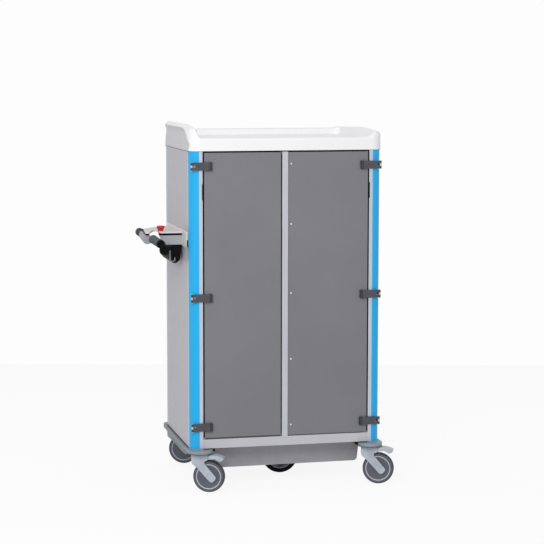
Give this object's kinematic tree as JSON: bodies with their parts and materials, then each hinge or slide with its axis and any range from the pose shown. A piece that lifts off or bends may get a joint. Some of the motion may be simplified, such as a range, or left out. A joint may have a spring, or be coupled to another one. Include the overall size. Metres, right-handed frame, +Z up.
{
  "type": "enclosed linen cart",
  "caption": "Tall enclosed cart with hinged double doors, moulded top tray, shelves, swivel braked casters, a sprung drive wheel and a push handle with controls.",
  "frame": {"origin": "bottom centre of the whole cart's bounding box, on the floor under the casters", "axes": "+X to the cart's right, away from the push handle; +Y to the back, away from the doors; +Z up"},
  "size_m": [0.9842, 0.6535, 1.44],
  "materials": {
    "post_aluminium": "anodised",
    "strip_blue": "satin",
    "panel_grey": "satin",
    "tray_white": "satin",
    "sheet_grey": "satin",
    "door_grey": "matte",
    "chassis_grey": "powder coated",
    "pan_grey": "matte",
    "steel": "plated",
    "strap_grey": "moulded",
    "rubber_black": "matte",
    "caster_grey": "moulded",
    "wheel_grey": "moulded",
    "tyre_grey": "matte",
    "tyre_black": "matte",
    "console_grey": "moulded",
    "plastic_black": "matte",
    "button_red": "gloss"
  },
  "bodies": {
    "cart_body": {"corner_post_front_left": "post_aluminium", "corner_post_front_right": "post_aluminium", "corner_post_rear_left": "post_aluminium", "corner_post_rear_right": "post_aluminium", "corner_strips": "strip_blue", "side_panel_left": "panel_grey", "side_panel_right": "panel_grey", "back_panel": "panel_grey", "roof_panel": "sheet_grey", "top_tray": "tray_white", "floor_tray": "sheet_grey", "chassis": "chassis_grey", "underfloor_pan": "pan_grey", "shelves": "sheet_grey", "shelf_pins": "steel", "hinge_brackets": "steel", "hinge_pins": "steel", "door_buffers": "rubber_black", "caster_stems": "steel", "drive_bracket": "steel", "drive_spring": "steel", "handle_console": "console_grey", "console_cover": "console_grey", "handle_bar": "console_grey", "handle_grips": "rubber_black", "control_housing": "plastic_black", "cable_hook": "console_grey"},
    "left_door": {"left_door": "door_grey", "left_hinge_straps": "strap_grey", "left_door_screws": "steel"},
    "right_door": {"right_door": "door_grey", "right_hinge_straps": "strap_grey", "right_door_fasteners": "steel", "closing_batten": "post_aluminium"},
    "drive_arm": {"drive_arm": "steel", "drive_axle": "steel"},
    "drive_wheel": {"drive_wheel": "wheel_grey", "drive_tyre": "tyre_black"},
    "stop_button": {"stop_button": "button_red"},
    "hand_lever": {"hand_lever": "plastic_black"},
    "caster_front_left": {"fork_front_left": "caster_grey", "axle_front_left": "steel"},
    "pedal_front_left": {"brake_pedal_front_left": "caster_grey"},
    "wheel_front_left": {"wheel_front_left": "wheel_grey", "tyre_front_left": "tyre_grey"},
    "caster_front_right": {"fork_front_right": "caster_grey", "axle_front_right": "steel"},
    "pedal_front_right": {"brake_pedal_front_right": "caster_grey"},
    "wheel_front_right": {"wheel_front_right": "wheel_grey", "tyre_front_right": "tyre_grey"},
    "caster_rear_left": {"fork_rear_left": "caster_grey", "axle_rear_left": "steel"},
    "pedal_rear_left": {"brake_pedal_rear_left": "caster_grey"},
    "wheel_rear_left": {"wheel_rear_left": "wheel_grey", "tyre_rear_left": "tyre_grey"},
    "caster_rear_right": {"fork_rear_right": "caster_grey", "axle_rear_right": "steel"},
    "pedal_rear_right": {"brake_pedal_rear_right": "caster_grey"},
    "wheel_rear_right": {"wheel_rear_right": "wheel_grey", "tyre_rear_right": "tyre_grey"}
  },
  "joints": [
    {"name": "left_door_hinge", "type": "hinge", "parent": "cart_body", "child": "left_door", "pos_m": [-0.32914, -0.28824, 0.768], "axis": [0, 0, -1], "range_deg": [0, 180]},
    {"name": "right_door_hinge", "type": "hinge", "parent": "cart_body", "child": "right_door", "pos_m": [0.42886, -0.28824, 0.768], "axis": [0, 0, 1], "range_deg": [0, 250]},
    {"name": "swivel_front_left", "type": "hinge", "parent": "cart_body", "child": "caster_front_left", "pos_m": [-0.29614, -0.27324, 0.146], "axis": [0, 0, 1], "continuous": true},
    {"name": "roll_front_left", "type": "hinge", "parent": "caster_front_left", "child": "wheel_front_left", "pos_m": [-0.26311, -0.28625, 0.0625], "axis": [0.3665, 0.9304, 0], "continuous": true},
    {"name": "brake_front_left", "type": "hinge", "parent": "caster_front_left", "child": "pedal_front_left", "pos_m": [-0.27474, -0.28167, 0.1375], "axis": [0.3665, 0.9304, 0], "range_deg": [0, 8]},
    {"name": "swivel_front_right", "type": "hinge", "parent": "cart_body", "child": "caster_front_right", "pos_m": [0.39586, -0.27324, 0.146], "axis": [0, 0, 1], "continuous": true},
    {"name": "roll_front_right", "type": "hinge", "parent": "caster_front_right", "child": "wheel_front_right", "pos_m": [0.42889, -0.28625, 0.0625], "axis": [0.3665, 0.9304, 0], "continuous": true},
    {"name": "brake_front_right", "type": "hinge", "parent": "caster_front_right", "child": "pedal_front_right", "pos_m": [0.41726, -0.28167, 0.1375], "axis": [0.3665, 0.9304, 0], "range_deg": [0, 8]},
    {"name": "swivel_rear_left", "type": "hinge", "parent": "cart_body", "child": "caster_rear_left", "pos_m": [-0.29614, 0.27676, 0.146], "axis": [0, 0, 1], "continuous": true},
    {"name": "roll_rear_left", "type": "hinge", "parent": "caster_rear_left", "child": "wheel_rear_left", "pos_m": [-0.26311, 0.26375, 0.0625], "axis": [0.3665, 0.9304, 0], "continuous": true},
    {"name": "brake_rear_left", "type": "hinge", "parent": "caster_rear_left", "child": "pedal_rear_left", "pos_m": [-0.27474, 0.26833, 0.1375], "axis": [0.3665, 0.9304, 0], "range_deg": [0, 8]},
    {"name": "swivel_rear_right", "type": "hinge", "parent": "cart_body", "child": "caster_rear_right", "pos_m": [0.39586, 0.27676, 0.146], "axis": [0, 0, 1], "continuous": true},
    {"name": "roll_rear_right", "type": "hinge", "parent": "caster_rear_right", "child": "wheel_rear_right", "pos_m": [0.42889, 0.26375, 0.0625], "axis": [0.3665, 0.9304, 0], "continuous": true},
    {"name": "brake_rear_right", "type": "hinge", "parent": "caster_rear_right", "child": "pedal_rear_right", "pos_m": [0.41726, 0.26833, 0.1375], "axis": [0.3665, 0.9304, 0], "range_deg": [0, 8]},
    {"name": "drive_arm_lift", "type": "hinge", "parent": "cart_body", "child": "drive_arm", "pos_m": [-0.0001, 0.00176, 0.122], "axis": [0, -1, 0], "range_deg": [0, 8], "stiffness_Nm_per_rad": 20, "springref_deg": -5.73, "deforming": ["drive_spring"]},
    {"name": "drive_roll", "type": "hinge", "parent": "drive_arm", "child": "drive_wheel", "pos_m": [0.08986, 0.00176, 0.075], "axis": [0, 1, 0], "continuous": true},
    {"name": "stop_button_press", "type": "slide", "parent": "cart_body", "child": "stop_button", "axis": [0, 0, -1], "range_m": [0, 0.005], "stiffness_N_per_m": 600, "springref_m": -0.0005},
    {"name": "hand_lever_squeeze", "type": "hinge", "parent": "cart_body", "child": "hand_lever", "pos_m": [-0.40914, -0.18624, 0.957], "axis": [0, 1, 0], "range_deg": [0, 12], "stiffness_Nm_per_rad": 0.6, "springref_deg": -8.59}
  ]
}
